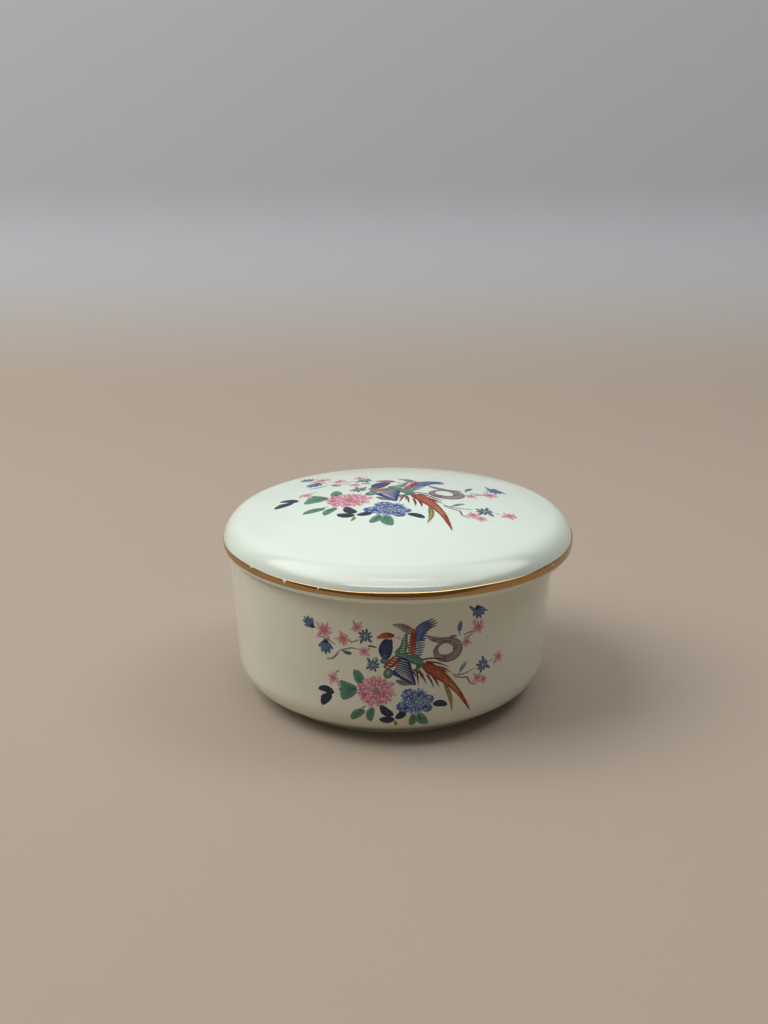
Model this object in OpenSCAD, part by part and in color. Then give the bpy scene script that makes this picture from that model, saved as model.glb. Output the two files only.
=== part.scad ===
// Round porcelain trinket box with a loose domed lid. Millimetres, +Z up.
// The origin lies on the plane that the foot stands on, straight below the lid's centre.

/* [Lid] */
// Diameter of the lid across its widest edge
lid_d = 100; // [92:1:110]
// Height of the top of the dome above the foot
total_h = 57; // [52:0.5:64]
// Height of the lid's dome and edge, from the rim of the box to the top of the dome
lid_h = 14; // [13:0.5:17]
// Radius of the shoulder that rounds the dome over into the edge
shoulder_r = 7.3; // [4:0.1:8]
// Radius of the roll that turns the edge under
roll_r = 2.1; // [1.5:0.1:2.6]
// Porcelain thickness of the dome
lid_t = 3; // [2.4:0.1:3.6]
// How far the lid rests off the centre of the box
lid_shift = 1.9; // [0:0.1:1.9]

/* [Flange under the lid] */
// Depth of the flange below the rim of the box
flange_h = 5; // [3:0.5:8]
// Width of the flange's wall
flange_t = 2.6; // [2:0.1:3.2]
// Gap between the flange and the mouth of the box when the lid is centred
flange_gap = 2.4; // [2.2:0.1:3]

/* [Box] */
// Diameter of the wall at the rim
rim_d = 93.2; // [90:0.1:95]
// How much the diameter of the wall narrows towards the lower corner
wall_taper = 3.4; // [1:0.1:6]
// Radius of the rounded lower corner
corner_r = 9.2; // [7:0.1:12]
// Porcelain thickness of the wall and the floor
wall_t = 3.2; // [2.6:0.1:3.8]

/* [Foot] */
// Diameter of the foot ring
foot_d = 72; // [64:0.5:76]
// Height of the foot ring below the belly
foot_h = 2.2; // [1.5:0.1:3.5]
// Width of the foot ring
foot_t = 4; // [3:0.1:6]

/* [Gilding and prints] */
// Height of the gold line's lower edge above the rim of the box
gilt_low = 1.8; // [0.2:0.1:2.0]
// Height of the gold line on the edge of the lid
gilt_h = 1.9; // [1.2:0.1:3.0]
// Thickness of the raised gold
gilt_t = 0.2; // [0.15:0.05:0.3]
// Thickness of the fired print
print_t = 0.06; // [0.04:0.01:0.1]
// Size of the lid's print against the one on the wall
lid_print_scale = 1.3; // [1:0.05:1.35]
// Turn of the lid, seen by its print, in degrees
lid_turn = -20; // [-45:1:45]

/* [Hidden] */
$fn = 192;
far = 200;
rim_round = 0.8;
edge_round = 0.5;
fillet_r = 4;
wall_print_at = [4.3, 21];
lid_print_at = [-2, -3];

rim_r = rim_d / 2;
rim_z = total_h - lid_h;
foot_r = foot_d / 2;
corner_x = rim_r - wall_taper / 2 - corner_r;
corner_z = foot_h + corner_r;

lid_r = lid_d / 2;
edge_z = rim_z + roll_r;
shoulder_x = lid_r - shoulder_r;
rise = total_h - edge_z;
dome_r = (pow(shoulder_x, 2) + pow(rise, 2) - pow(shoulder_r, 2)) / (2 * (rise - shoulder_r));
dome_z = total_h - dome_r;
flange_r = rim_r - wall_t - flange_gap;
hollow_r = flange_r - flange_t;

porcelain = [0.93, 0.93, 0.87];
gold = [0.72, 0.55, 0.26];
enamel = [0.78, 0.62, 0.66];

// Angle of the straight wall's normal, where the wall meets the corner's circle as a tangent
wall_top = [rim_r - corner_x, rim_z - rim_round - corner_z];
wall_angle = atan2(wall_top.y, wall_top.x) - acos(corner_r / norm(wall_top));
function on_corner(r) = [corner_x + r * cos(wall_angle), corner_z + r * sin(wall_angle)];

// Half section of the box below its rim, moved outward by grow, or inward if it is negative
module belly_section(grow = 0) {
    translate([corner_x, corner_z]) circle(r = corner_r + grow);
    polygon([
        [0, foot_h - grow],
        [corner_x, foot_h - grow],
        on_corner(corner_r + grow),
        [rim_r + grow, rim_z - rim_round],
        [0, rim_z - rim_round]
    ]);
}

// Rounded top of the wall, which the lid rests on
module rim_section() {
    inner_r = rim_r - wall_t;
    for (x = [inner_r + rim_round, rim_r - rim_round])
        translate([x, rim_z - rim_round]) circle(r = rim_round);
    translate([inner_r + rim_round, rim_z - 2 * rim_round])
        square([wall_t - 2 * rim_round, 2 * rim_round]);
}

// Foot ring with a flat that stands on the table and small chamfers beside it
module foot_section() {
    polygon([
        [foot_r - foot_t - edge_round, foot_h + edge_round],
        [foot_r - foot_t + edge_round, 0],
        [foot_r - edge_round, 0],
        [foot_r, edge_round],
        [foot_r, foot_h + 2 * edge_round]
    ]);
}

// Half section of the solid lid above its resting plane, moved outward by grow
module dome_section(grow = 0) {
    shoulder_angle = atan2(edge_z - dome_z, shoulder_x);
    tangent_x = dome_r * cos(shoulder_angle);
    intersection() {
        translate([0, dome_z]) circle(r = dome_r + grow, $fn = 720);
        translate([0, edge_z]) square([tangent_x, lid_h + 1]);
    }
    intersection() {
        translate([shoulder_x, edge_z]) circle(r = shoulder_r + grow);
        translate([0, edge_z]) square([far, far]);
    }
    translate([lid_r - roll_r, edge_z]) circle(r = roll_r + grow);
    translate([0, rim_z - grow]) square([lid_r - roll_r, edge_z - rim_z + 2 * grow]);
}

// Half section of the hollow under the dome
module hollow_section() {
    inside_r = dome_r - lid_t;
    fillet_x = hollow_r - fillet_r;
    fillet_z = dome_z + sqrt(pow(inside_r - fillet_r, 2) - pow(fillet_x, 2));
    intersection() {
        translate([0, dome_z]) circle(r = inside_r, $fn = 720);
        translate([0, rim_z - far]) square([fillet_x, 2 * far]);
    }
    translate([fillet_x, fillet_z]) circle(r = fillet_r);
    translate([0, rim_z - far]) square([hollow_r, fillet_z - rim_z + far]);
}

// Outline of the bird, peonies and twigs as one trimmed patch, flat, round the print's own middle
module print_outline() {
    translate([-19, 9]) circle(r = 8.5);
    translate([-18, -5.5]) circle(r = 7.5);
    translate([-8, 8]) circle(r = 8.5);
    translate([-7, -5]) circle(r = 10);
    translate([4, 2]) circle(r = 13);
    translate([4, -7]) circle(r = 9);
    translate([16, 9]) circle(r = 9.5);
    translate([19, -3]) circle(r = 8.5);
    translate([14, -8]) circle(r = 7);
}

module on_box() {
    translate([-lid_shift, 0, 0]) children();
}

module box_body() {
    color(porcelain) on_box() rotate_extrude() difference() {
        union() {
            belly_section();
            rim_section();
            foot_section();
        }
        difference() {
            belly_section(-wall_t);
            translate([rim_r - wall_t, rim_z - rim_round]) square(far);
        }
        translate([0, rim_z - 2 * rim_round]) square([rim_r - wall_t, far]);
    }
}

// The print stops where the straight wall turns into the rounded corner
module wall_transfer() {
    color(enamel) on_box() intersection() {
        rotate_extrude() polygon([
            on_corner(corner_r),
            on_corner(corner_r + print_t),
            [rim_r + print_t, rim_z - rim_round],
            [rim_r, rim_z - rim_round]
        ]);
        translate([wall_print_at.x, 0, wall_print_at.y])
            rotate([90, 0, 0]) linear_extrude(rim_d) print_outline();
    }
}

module lid() {
    color(porcelain) rotate_extrude() {
        difference() {
            dome_section();
            hollow_section();
        }
        translate([hollow_r, rim_z - flange_h + flange_t / 2]) square([flange_t, flange_h]);
        translate([hollow_r + flange_t / 2, rim_z - flange_h + flange_t / 2]) circle(d = flange_t);
    }
}

module gilt_band() {
    color(gold) rotate_extrude() intersection() {
        difference() {
            dome_section(gilt_t);
            dome_section();
        }
        translate([lid_r - roll_r, rim_z + gilt_low]) square([far, gilt_h]);
    }
}

module lid_transfer() {
    color(enamel) intersection() {
        rotate_extrude() difference() {
            dome_section(print_t);
            dome_section();
        }
        translate([lid_print_at.x, lid_print_at.y, edge_z])
            rotate(lid_turn) scale(lid_print_scale) linear_extrude(rim_z) print_outline();
    }
}

box_body();
wall_transfer();
lid();
gilt_band();
lid_transfer();
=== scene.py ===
"""Round porcelain trinket box: a straight-walled box on a foot ring, a loose domed lid with a gilt edge,
and one bird-and-peony print fired on the wall and, larger and turned, on the lid.

Sections and prints are drawn in millimetres and built in metres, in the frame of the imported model.
"""

import math
import random

import bpy
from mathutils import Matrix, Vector


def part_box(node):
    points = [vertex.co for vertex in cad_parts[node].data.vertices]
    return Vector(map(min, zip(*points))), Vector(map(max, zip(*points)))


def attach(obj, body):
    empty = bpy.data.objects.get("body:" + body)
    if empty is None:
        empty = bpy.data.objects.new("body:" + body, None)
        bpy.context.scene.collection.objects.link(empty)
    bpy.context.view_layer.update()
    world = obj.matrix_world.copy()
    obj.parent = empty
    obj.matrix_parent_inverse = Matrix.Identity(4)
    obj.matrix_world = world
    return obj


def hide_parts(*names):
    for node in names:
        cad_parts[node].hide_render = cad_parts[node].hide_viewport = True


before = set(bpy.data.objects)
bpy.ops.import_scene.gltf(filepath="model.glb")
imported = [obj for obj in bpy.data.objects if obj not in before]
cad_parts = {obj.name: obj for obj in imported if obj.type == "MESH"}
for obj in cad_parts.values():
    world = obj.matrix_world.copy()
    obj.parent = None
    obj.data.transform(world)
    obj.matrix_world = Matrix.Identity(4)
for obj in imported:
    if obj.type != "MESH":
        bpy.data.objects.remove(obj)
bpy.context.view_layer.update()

bl_info = {
    "name": "Porcelain Trinket Box",
    "version": (1, 0, 0),
    "blender": (4, 5, 0),
    "location": "View3D > Sidebar > Trinket Box",
    "description": "Builds a lidded porcelain box with a gilt edge and fired prints",
    "category": "Object",
}

MM = 0.001
TURN = 2 * math.pi
SPIN_STEPS = 192
SUNK = -0.02  # mm that the rim of a print film lies below the glaze
LOWEST_FILM = 0.02  # mm between the glaze and the first layer of ink
INK_LAYER = 0.008  # mm between one layer of ink and the next
GILT_STEPS = 240
LAMP_REACH = 0.9  # m from the front of the lid's edge to the thin strips
FLOOR_SIZE, FLOOR_BACK = 6, 0.33  # m, and where the floor starts to turn up
WALL_HEIGHT, TURN_UP, TURN_STEPS = 1.4, 0.12, 12  # m, m and steps of the floor's turn into the backdrop
LENS_MM = 42.19
PINK_AT, BLUE_AT = (-8.4, -3.8), (2.1, -7)  # middles of the two peonies, mm

box_lo, box_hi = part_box("box_body")
lid_lo, lid_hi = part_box("lid")
BOX_AXIS = (box_lo.x + box_hi.x) / 2
RIM_R = (box_hi.x - box_lo.x) / 2
RIM_Z = box_hi.z
LID_R = (lid_hi.x - lid_lo.x) / 2
TOP_Z = lid_hi.z
FLANGE_Z = lid_lo.z
CAMERA_AT = (BOX_AXIS, -0.32795, 0.15896)  # m
CAMERA_DOWN, CAMERA_TURN = 18.12, 0.36  # degrees


def linear(red, green, blue):
    """Turns a paint-chart colour, 0 to 255, into the linear values that materials use."""
    def channel(v):
        v /= 255
        return v / 12.92 if v <= 0.04045 else ((v + 0.055) / 1.055) ** 2.4

    return (channel(red), channel(green), channel(blue))


def length(name, default, description):
    return bpy.props.FloatProperty(
        name=name, default=default, description=description, min=0, unit="LENGTH", subtype="DISTANCE"
    )


def colour(name, chart, description):
    return bpy.props.FloatVectorProperty(
        name=name, default=linear(*chart), description=description, size=3, min=0, max=1, subtype="COLOR"
    )


def angle(name, degrees, description):
    return bpy.props.FloatProperty(
        name=name, default=math.radians(degrees), description=description, unit="ROTATION", subtype="ANGLE"
    )


class TrinketSizes(bpy.types.PropertyGroup):
    """Sizes of the porcelain and of its decoration"""

    rim_r: length("Rim radius", RIM_R, "Radius of the wall at the rim")
    rim_z: length("Rim height", RIM_Z, "Height of the rim above the foot")
    wall_t: length("Wall", 3.2 * MM, "Porcelain thickness of the wall and the floor")
    wall_taper: length("Wall taper", 1.7 * MM, "How much the wall's radius narrows to the corner")
    rim_round: length("Rim rounding", 0.8 * MM, "Radius on both edges of the rim")
    corner_r: length("Lower corner", 9.2 * MM, "Radius of the rounded lower corner")
    foot_r: length("Foot radius", 36 * MM, "Outer radius of the foot ring")
    foot_h: length("Foot height", 2.2 * MM, "Height of the foot ring below the belly")
    foot_t: length("Foot width", 4 * MM, "Width of the foot ring")
    lid_r: length("Lid radius", LID_R, "Radius of the lid at its widest edge")
    top_z: length("Top", TOP_Z, "Height of the top of the dome above the foot")
    shoulder_r: length("Shoulder", 7.3 * MM, "Radius that rounds the dome over into the edge")
    roll_r: length("Edge roll", 2.1 * MM, "Radius of the roll that turns the edge under")
    lid_t: length("Dome thickness", 3 * MM, "Porcelain thickness of the dome")
    flange_r: length("Flange radius", 41 * MM, "Outer radius of the flange under the lid")
    flange_t: length("Flange width", 2.6 * MM, "Width of the flange")
    flange_z: length("Flange tip", FLANGE_Z, "Height of the flange's tip above the foot")
    lean: length("Dome lean", 0.3 * MM, "How far the dome rises on the right and sinks on the left")
    gilt_low: length("Gilding start", 1.8 * MM, "Height of the gold line's lower edge above the rim")
    gilt_h: length("Gilding height", 1.9 * MM, "Height of the gold line")
    gilt_t: length("Gilding thickness", 0.06 * MM, "Thickness of the gold")
    print_scale: bpy.props.FloatProperty(
        name="Lid print scale", default=1.3, min=0.5, max=1.4, description="Lid print against the wall print"
    )
    lid_turn: angle("Lid turn", -20.4, "Turn of the lid's print")


class TrinketColours(bpy.types.PropertyGroup):
    """Colours of the glazes, the gold and the stage"""

    # Box and lid carry one glaze. Its colour is split into two copies: the wall's is painted warmer and
    # darker, as in shade, and the lid's is painted cooler and whiter, as in daylight from above.
    wall_glaze: colour("Wall glaze", (224, 223, 204), "Glaze of the box, painted warmer and darker as in shade")
    lid_glaze: colour("Lid glaze", (226, 237, 223), "Same glaze on the lid, painted cooler and whiter as in daylight")
    glaze_pool: colour("Pooled glaze", (196, 196, 170), "Glaze where it runs thick, at the foot")
    biscuit: colour("Biscuit", (219, 212, 196), "Bare porcelain where the glaze is wiped off")
    gold: colour("Gold", (190, 154, 106), "Gilding on the edge of the lid")
    # Colour of the pale spots in the gold: porcelain where the gold is chipped, and painted glints of light
    # at the front of the line.
    worn_gold_and_glint: colour("Worn gold and glints", (232, 230, 218), "Porcelain that shows through chips in the gold")
    floor: colour("Floor", (172, 158, 143), "Plain floor")
    backdrop: colour("Backdrop", (196, 200, 206), "Plain wall behind")


# ---------------------------------------------------------------- sections and lathe work


def arc(cx, cz, r, start, end, count):
    """Points on a circle in a half section, from one angle to another in radians."""
    angles = [start + (end - start) * i / count for i in range(count + 1)]
    return [(cx + r * math.cos(a), cz + r * math.sin(a)) for a in angles]


def run(start, end, count):
    """Points on a straight stretch of a half section, without its first one."""
    return [
        (start[0] + (end[0] - start[0]) * i / count, start[1] + (end[1] - start[1]) * i / count)
        for i in range(1, count + 1)
    ]


class Belly:
    """The wall and its rounded corner, where the print is laid."""

    def __init__(self, sizes):
        s = sizes
        self.corner = (s.rim_r - s.wall_taper - s.corner_r, s.foot_h + s.corner_r)
        self.r = s.corner_r
        self.top = (s.rim_r, s.rim_z - s.rim_round)
        away = (self.top[0] - self.corner[0], self.top[1] - self.corner[1])
        self.slope = math.atan2(away[1], away[0]) - math.acos(self.r / math.hypot(*away))
        self.tangent = self.on_corner(self.r)

    def on_corner(self, r, turned=0.0):
        a = self.slope - turned
        return (self.corner[0] + r * math.cos(a), self.corner[1] + r * math.sin(a))

    def at(self, height):
        """Radius, height and normal angle where the profile is this far up, the corner's arc unrolled."""
        below = self.tangent[1] - height
        if below > 0:
            a = self.slope - below / self.r
            return (*self.on_corner(self.r, below / self.r), a)
        share = -below / (self.top[1] - self.tangent[1])
        return (self.tangent[0] + share * (self.top[0] - self.tangent[0]), height, self.slope)


class Dome:
    """The top of the lid, where the larger print is laid."""

    def __init__(self, sizes):
        s = sizes
        self.edge_z = s.rim_z + s.roll_r
        self.shoulder_x = s.lid_r - s.shoulder_r
        rise = s.top_z - self.edge_z
        self.r = (self.shoulder_x**2 + rise**2 - s.shoulder_r**2) / (2 * (rise - s.shoulder_r))
        self.z = s.top_z - self.r
        self.shoulder_angle = math.atan2(self.edge_z - self.z, self.shoulder_x)


def out_of_round(a):
    """How far a hand-finished casting strays from a true circle at an angle round it, in metres."""
    return (0.09 * math.cos(2 * a + 0.6) + 0.05 * math.cos(3 * a - 1.1)) * MM


def dome_lean(x, y, sizes):
    """Height that the fired dome has gained at a place on the lid. The edge stays flat."""
    far = math.hypot(x, y) / sizes.lid_r
    hold = min(1, max(0, (0.95 - far) / 0.2))  # 1 on the dome, 0 at the edge
    hold = hold * hold * (3 - 2 * hold)
    return sizes.lean * x / (0.7 * sizes.lid_r) * hold


def deselect():
    if bpy.context.mode != "OBJECT":
        bpy.ops.object.mode_set(mode="OBJECT")
    bpy.ops.object.select_all(action="DESELECT")


def pick(piece):
    """Makes a piece the active one and the only one selected."""
    deselect()
    piece.select_set(True)
    bpy.context.view_layer.objects.active = piece


def add_plane(name, size, location):
    """Adds a plane as a piece of its own, in mesh coordinates that are also the frame's."""
    deselect()
    bpy.ops.mesh.primitive_plane_add(size=size, location=location)
    bpy.context.object.name = name
    bpy.ops.object.transform_apply(location=True, rotation=True, scale=True)
    return bpy.context.object


def lathe(name, section, axis_x, steps=SPIN_STEPS):
    """Draws a half section point by point with extrude, and spins it round an upright axis."""
    piece = add_plane(name, MM, (axis_x + section[0][0], 0, section[0][1]))
    bpy.ops.object.mode_set(mode="EDIT")
    bpy.ops.mesh.merge(type="CENTER")
    for (r0, z0), (r1, z1) in zip(section, section[1:]):
        bpy.ops.mesh.extrude_region_move(TRANSFORM_OT_translate={"value": (r1 - r0, 0, z1 - z0)})
    bpy.ops.mesh.select_all(action="SELECT")
    bpy.ops.mesh.spin(steps=steps, angle=TURN, center=(axis_x, 0, 0), axis=(0, 0, 1))
    bpy.ops.mesh.select_all(action="SELECT")
    bpy.ops.mesh.remove_doubles(threshold=1e-6)
    bpy.ops.mesh.normals_make_consistent(inside=False)
    bpy.ops.object.mode_set(mode="OBJECT")
    return piece


def finish_piece(piece, body, nodes, materials, smooth=math.radians(35)):
    """Smooths a piece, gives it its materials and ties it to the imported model."""
    pick(piece)
    bpy.ops.object.shade_smooth_by_angle(angle=smooth)
    for material in materials:
        piece.data.materials.append(material)
    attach(piece, body)
    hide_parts(*nodes)
    return piece


def box_section(s):
    belly = Belly(s)
    cx, cz = belly.corner
    inner_r, outer_r = s.rim_r - s.wall_t, s.rim_r
    inside = s.corner_r - s.wall_t
    rim_in, rim_out = inner_r + s.rim_round, outer_r - s.rim_round
    rim_low = s.rim_z - s.rim_round
    under = s.foot_h
    foot_in = s.foot_r - s.foot_t
    tip = 0.5 * MM
    blend = 0.5 * MM
    section = [(0, under + s.wall_t)]
    section += run(section[-1], (cx, under + s.wall_t), 8)
    section += arc(cx, cz, inside, -math.pi / 2, belly.slope, 14)[1:]
    section += run(section[-1], (inner_r, rim_low), 10)
    section += arc(rim_in, rim_low, s.rim_round, math.pi, math.pi / 2, 6)[1:]
    section += run(section[-1], (rim_out, s.rim_z), 2)
    section += arc(rim_out, rim_low, s.rim_round, math.pi / 2, 0, 6)[1:]
    section += run(section[-1], belly.tangent, 16)
    lowest = -math.pi / 2 + math.asin((s.foot_r + blend - cx) / s.corner_r)
    section += arc(cx, cz, s.corner_r, belly.slope, lowest, 22)[1:]
    section += arc(s.foot_r + blend, under - blend, blend, math.pi / 2, math.pi, 5)[1:]
    section += run(section[-1], (s.foot_r, tip), 2)
    section += arc(s.foot_r - tip, tip, tip, 0, -math.pi / 2, 5)[1:]
    section += run(section[-1], (foot_in + 1.0 * MM, 0), 3)
    section += arc(foot_in + 1.0 * MM, tip, tip, -math.pi / 2, -math.pi, 4)[1:]
    section += run(section[-1], (foot_in, under - blend), 2)
    section += arc(foot_in - blend, under - blend, blend, 0, math.pi / 2, 4)[1:]
    section += run(section[-1], (0, under), 8)
    return section


def lid_section(s):
    dome = Dome(s)
    inside_r = dome.r - s.lid_t
    hollow_r = s.flange_r - s.flange_t
    fillet = 4 * MM
    fillet_x = hollow_r - fillet
    fillet_z = dome.z + math.sqrt((inside_r - fillet) ** 2 - fillet_x**2)
    meet = math.atan2(fillet_z - dome.z, fillet_x)
    tip_r = s.flange_t / 2
    tip_z = s.flange_z + tip_r
    blend = 0.6 * MM
    upright = math.pi / 2
    section = arc(0, dome.z, inside_r, upright, meet, 18)
    section[0] = (0, section[0][1])
    section += arc(fillet_x, fillet_z, fillet, meet, 0, 8)[1:]
    section += run(section[-1], (hollow_r, tip_z), 6)
    section += arc(hollow_r + tip_r, tip_z, tip_r, math.pi, TURN, 12)[1:]
    section += run(section[-1], (s.flange_r, s.rim_z - blend), 4)
    section += arc(s.flange_r + blend, s.rim_z - blend, blend, math.pi, upright, 4)[1:]
    section += run(section[-1], (s.lid_r - s.roll_r, s.rim_z), 5)
    section += arc(s.lid_r - s.roll_r, dome.edge_z, s.roll_r, -upright, 0, 14)[1:]
    section += arc(dome.shoulder_x, dome.edge_z, s.shoulder_r, 0, dome.shoulder_angle, 18)[1:]
    section += arc(0, dome.z, dome.r, dome.shoulder_angle, upright, 26)[1:]
    section[-1] = (0, section[-1][1])
    return section


# ---------------------------------------------------------------- shader parts


def group(name, inputs, outputs):
    """Starts a shader node group. Each input has its value, or None for a place; all outputs are numbers."""
    tree = bpy.data.node_groups.new(name, "ShaderNodeTree")
    for label, value in inputs.items():
        kind = "NodeSocketVector" if value is None else "NodeSocketFloat"
        socket = tree.interface.new_socket(label, in_out="INPUT", socket_type=kind)
        if value is not None:
            socket.default_value = value
    for label in outputs:
        tree.interface.new_socket(label, in_out="OUTPUT", socket_type="NodeSocketFloat")
    return tree, tree.nodes.new("NodeGroupInput").outputs, tree.nodes.new("NodeGroupOutput")


def feed(tree, made, inputs):
    """Sets a node's inputs, each to a value or to another node's output."""
    for key, value in inputs.items():
        if isinstance(value, bpy.types.NodeSocket):
            tree.links.new(value, made.inputs[key])
        else:
            made.inputs[key].default_value = value
    return made


def node(tree, kind, inputs=None, **settings):
    """Adds a node and sets it up."""
    made = tree.nodes.new(kind)
    for key, value in settings.items():
        setattr(made, key, value)
    return feed(tree, made, inputs or {})


def noise(tree, place, scale, detail):
    inputs = {"Vector": place, "Scale": scale, "Detail": detail}
    return node(tree, "ShaderNodeTexNoise", inputs).outputs["Fac"]


def fade(tree, value, low, high, out_low=0.0, out_high=1.0):
    """Maps a value smoothly from one range to another."""
    ranges = {"Value": value, "From Min": low, "From Max": high, "To Min": out_low, "To Max": out_high}
    return node(tree, "ShaderNodeMapRange", ranges, interpolation_type="SMOOTHSTEP").outputs["Result"]


def blend(tree, share, first, second):
    """Mixes two colours."""
    pair = [c if isinstance(c, bpy.types.NodeSocket) else (*c[:3], 1) for c in (first, second)]
    return node(tree, "ShaderNodeMix", {0: share, 6: pair[0], 7: pair[1]}, data_type="RGBA").outputs[2]


def maths(tree, first, second, operation="MULTIPLY"):
    return node(tree, "ShaderNodeMath", {0: first, 1: second}, operation=operation).outputs[0]


def glaze_skin_group():
    """Gentle unevenness of a fired glaze: tone, orange-peel height and tiny pinholes."""
    tree, ins, outs = group(
        "Glaze Skin",
        {"Vector": None, "Cloud Scale": 35.0, "Speck Scale": 420.0, "Speck Share": 0.5},
        ("Tone", "Height", "Specks"),
    )
    at = ins["Vector"]
    tone = noise(tree, at, ins["Cloud Scale"], 3.0)
    peel, swell = noise(tree, at, 260.0, 1.0), noise(tree, at, 55.0, 0.0)
    cells = node(tree, "ShaderNodeTexVoronoi", {"Vector": at, "Scale": ins["Speck Scale"]})
    dots = fade(tree, cells.outputs["Distance"], 0.16, 0.06)
    rare = fade(tree, noise(tree, at, 90.0, 2.0), 0.66, 0.72)
    specks = maths(tree, maths(tree, dots, rare), ins["Speck Share"])
    height = maths(tree, maths(tree, peel, 0.25), swell, "ADD")
    height = maths(tree, height, maths(tree, specks, 0.6), "SUBTRACT")
    feed(tree, outs, {"Tone": tone, "Height": height, "Specks": specks})
    return tree


def wear_group():
    """Fine scuffs and ragged patches, for gold, enamel and bare porcelain."""
    tree, ins, outs = group("Scuffs", {"Vector": None, "Scale": 900.0, "Bias": 0.0}, ("Ragged", "Fine"))
    at = ins["Vector"]
    ragged = maths(tree, noise(tree, at, ins["Scale"], 3.0), ins["Bias"], "ADD")
    feed(tree, outs, {"Ragged": ragged, "Fine": noise(tree, at, 4200.0, 2.0)})
    return tree


def use_group(tree, name, make, inputs):
    """Adds a node group, made on its first use, and returns its outputs."""
    made = node(tree, "ShaderNodeGroup", node_tree=bpy.data.node_groups.get(name) or make())
    return feed(tree, made, inputs).outputs


def new_material(name, **surface):
    """A material with its Principled values set on the shader's own sockets."""
    made = bpy.data.materials.new(name)
    made.use_nodes = True
    tree = made.node_tree
    shader = feed(tree, tree.nodes["Principled BSDF"], {k.replace("_", " "): v for k, v in surface.items()})
    return made, tree, shader, node(tree, "ShaderNodeTexCoord").outputs["Object"]


def cover(tree, shader, paint, roughness, height, depth, strength):
    """Joins colour, roughness and bump, its depth in millimetres, to a material's shader."""
    relief = node(tree, "ShaderNodeBump", {"Height": height, "Distance": depth * MM, "Strength": strength})
    feed(tree, shader, {"Base Color": paint, "Roughness": roughness, "Normal": relief.outputs["Normal"]})


def height_of(tree, place):
    return node(tree, "ShaderNodeSeparateXYZ", {"Vector": place}).outputs["Z"]


def glaze_material(name, base, clouds, share, depth, speck, roughness, pool=None):
    """Gloss glaze with kiln specks. With a pool colour it deepens at the foot and has faint stains."""
    made, tree, shader, place = new_material(name, IOR=1.52, Coat_Weight=0.35, Coat_Roughness=0.04)
    look = {"Vector": place, "Cloud Scale": clouds, "Speck Share": share}
    skin = use_group(tree, "Glaze Skin", glaze_skin_group, look)
    tone = skin["Tone"]
    paint = blend(tree, fade(tree, tone, 0.3, 0.7), base, [c * depth for c in base])
    if pool:
        pooled = fade(tree, height_of(tree, place), 6.5 * MM, 1.5 * MM, 0.0, 0.8)
        stained = fade(tree, noise(tree, place, 70.0, 4.0), 0.62, 0.8, 0.0, 0.22)
        paint = blend(tree, stained, blend(tree, pooled, paint, pool), linear(206, 196, 140))
    paint = blend(tree, skin["Specks"], paint, linear(*speck))
    rough = fade(tree, tone, 0.2, 0.8, roughness, roughness + 0.07)
    cover(tree, shader, paint, rough, skin["Height"], 0.05, 0.6)
    return made


def biscuit_material(name, base):
    """Bare fired porcelain, matte and slightly soiled."""
    made, tree, shader, place = new_material(name, IOR=1.5)
    scuffs = use_group(tree, "Scuffs", wear_group, {"Vector": place, "Scale": 240.0})
    paint = blend(tree, fade(tree, scuffs["Ragged"], 0.45, 0.75), base, [c * 0.72 for c in base])
    cover(tree, shader, paint, fade(tree, scuffs["Fine"], 0.3, 0.7, 0.62, 0.85), scuffs["Fine"], 0.04, 0.8)
    return made


def gilding_material(name, gold, bare):
    """Burnished gold line, brushed on, with pale non-metal spots in the porcelain's colour: chipped gold at
    the back, and painted glints at the front where the gold would catch the light.
    """
    made, tree, shader, place = new_material(name)
    wear_and_glint = node(tree, "ShaderNodeAttribute", attribute_name="wear_and_glint").outputs["Fac"]
    scuffs = use_group(tree, "Scuffs", wear_group, {"Vector": place, "Scale": 700.0, "Bias": wear_and_glint})
    # One mask and one bare colour serve both chipped gold and painted glints of light.
    chips_and_glints = fade(tree, scuffs["Ragged"], 0.94, 1.0)
    paint = blend(tree, fade(tree, scuffs["Fine"], 0.35, 0.65), gold, [c * 0.85 for c in gold])
    feed(tree, shader, {"Metallic": maths(tree, 1.0, chips_and_glints, "SUBTRACT")})
    rough = fade(tree, scuffs["Ragged"], 0.3, 0.8, 0.06, 0.14)
    cover(tree, shader, blend(tree, chips_and_glints, paint, bare), rough, noise(tree, place, 160.0, 2.0), 0.10, 0.5)
    return made


def enamel_material(name):
    """Fired print: the colour comes with each stroke, and the ink is slightly uneven."""
    made, tree, shader, place = new_material(name, IOR=1.45)
    tint = node(tree, "ShaderNodeAttribute", attribute_name="ink").outputs["Color"]
    scuffs = use_group(tree, "Scuffs", wear_group, {"Vector": place, "Scale": 1500.0})
    thin = blend(tree, 0.05, tint, linear(222, 214, 200))
    paint = blend(tree, fade(tree, scuffs["Ragged"], 0.5, 0.75), tint, thin)
    cover(tree, shader, paint, fade(tree, scuffs["Fine"], 0.3, 0.7, 0.16, 0.3), scuffs["Ragged"], 0.01, 0.5)
    return made


def material(name, make, *looks):
    """Finds a material, or makes it on its first use."""
    return bpy.data.materials.get(name) or make(name, *looks)


# ---------------------------------------------------------------- print drawing

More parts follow.
